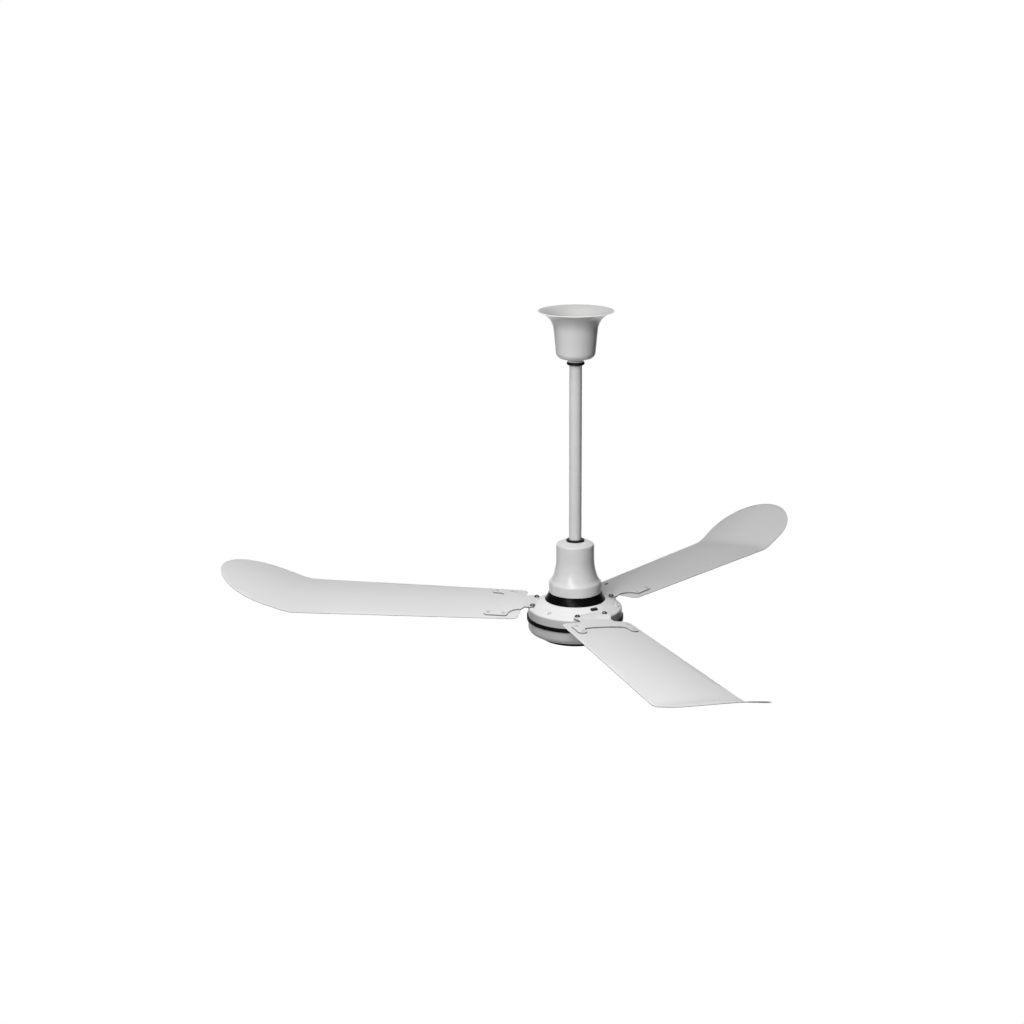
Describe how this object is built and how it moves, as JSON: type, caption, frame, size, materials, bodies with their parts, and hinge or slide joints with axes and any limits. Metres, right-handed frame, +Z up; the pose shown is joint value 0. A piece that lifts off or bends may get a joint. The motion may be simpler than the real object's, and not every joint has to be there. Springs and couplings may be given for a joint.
{
  "type": "ceiling fan",
  "caption": "White industrial ceiling fan with a trumpet canopy, plain down rod, bell-shaped motor cover and cambered sheet blades with turned-up tips; hangs from a ceiling hook.",
  "frame": {"origin": "axis of the hanger roller, where the fan hangs in the ceiling hook, on the rod's axis", "axes": "+Z up along the rod, +X along the roller's bolt towards its head, +Y to the rear"},
  "size_m": [1.2295, 1.3077, 0.6768],
  "materials": {
    "white_enamel": "glossy white paint",
    "housing_enamel": "glossy white paint on cast aluminium",
    "blade_enamel": "glossy white paint on aluminium sheet",
    "black_plastic": "semi-matte black",
    "black_rubber": "black rubber",
    "lamination": "varnished dark steel sheets",
    "zinc_steel": "zinc plated",
    "dark_steel": "blackened",
    "turned_steel": "turned bright steel",
    "bearing_steel": "ground and polished",
    "copper": "varnished copper wire",
    "cast_aluminium": "die cast",
    "capacitor_case": "moulded plastic",
    "terminal_plastic": "moulded plastic"
  },
  "bodies": {
    "hanger": {"hanger_roller": "black_rubber"},
    "suspension": {"hanger_plate_left": "zinc_steel", "hanger_plate_right": "zinc_steel", "hanger_bolt": "zinc_steel", "hanger_nut": "zinc_steel", "split_pins": "zinc_steel", "rod_bolt_upper": "zinc_steel", "rod_nut_upper": "zinc_steel", "rod_bolt_lower": "zinc_steel", "rod_nut_lower": "zinc_steel", "terminal_block": "terminal_plastic", "downrod": "white_enamel", "motor_shaft": "turned_steel", "shaft_collar": "turned_steel", "bearing_spacer": "turned_steel", "base_ring": "black_plastic", "run_capacitor": "capacitor_case", "capacitor_clip": "zinc_steel", "stator_core": "lamination", "stator_windings": "copper", "upper_bearing_inner": "bearing_steel", "lower_bearing_inner": "bearing_steel"},
    "canopy": {"canopy": "white_enamel", "canopy_ring": "black_rubber"},
    "motor_cover": {"motor_cover": "white_enamel", "motor_cover_seal": "black_rubber"},
    "rotor": {"upper_housing": "housing_enamel", "lower_housing": "housing_enamel", "rotor_core": "lamination", "rotor_cage": "cast_aluminium", "upper_bearing_outer": "bearing_steel", "lower_bearing_outer": "bearing_steel", "upper_bearing_balls": "bearing_steel", "lower_bearing_balls": "bearing_steel", "bottom_cap": "black_plastic", "bottom_cap_screws": "zinc_steel", "housing_screws": "white_enamel", "iron_screws": "dark_steel", "blade_rivets": "white_enamel", "blade_iron_1": "white_enamel", "blade_iron_2": "white_enamel", "blade_iron_3": "white_enamel", "blade_1": "blade_enamel", "blade_2": "blade_enamel", "blade_3": "blade_enamel", "balance_weight": "dark_steel"}
  },
  "joints": [
    {"name": "hanger_swing", "type": "hinge", "parent": "hanger", "child": "suspension", "pos_m": [0, 0, 0], "axis": [1, 0, 0], "range_deg": [-5, 5]},
    {"name": "rotor_spin", "type": "hinge", "parent": "suspension", "child": "rotor", "pos_m": [0, 0, -0.587], "axis": [0, 0, 1], "continuous": true},
    {"name": "canopy_slide", "type": "slide", "parent": "suspension", "child": "canopy", "axis": [0, 0, 1], "range_m": [-0.17, 0]},
    {"name": "motor_cover_slide", "type": "slide", "parent": "suspension", "child": "motor_cover", "axis": [0, 0, 1], "range_m": [0, 0.16]}
  ]
}
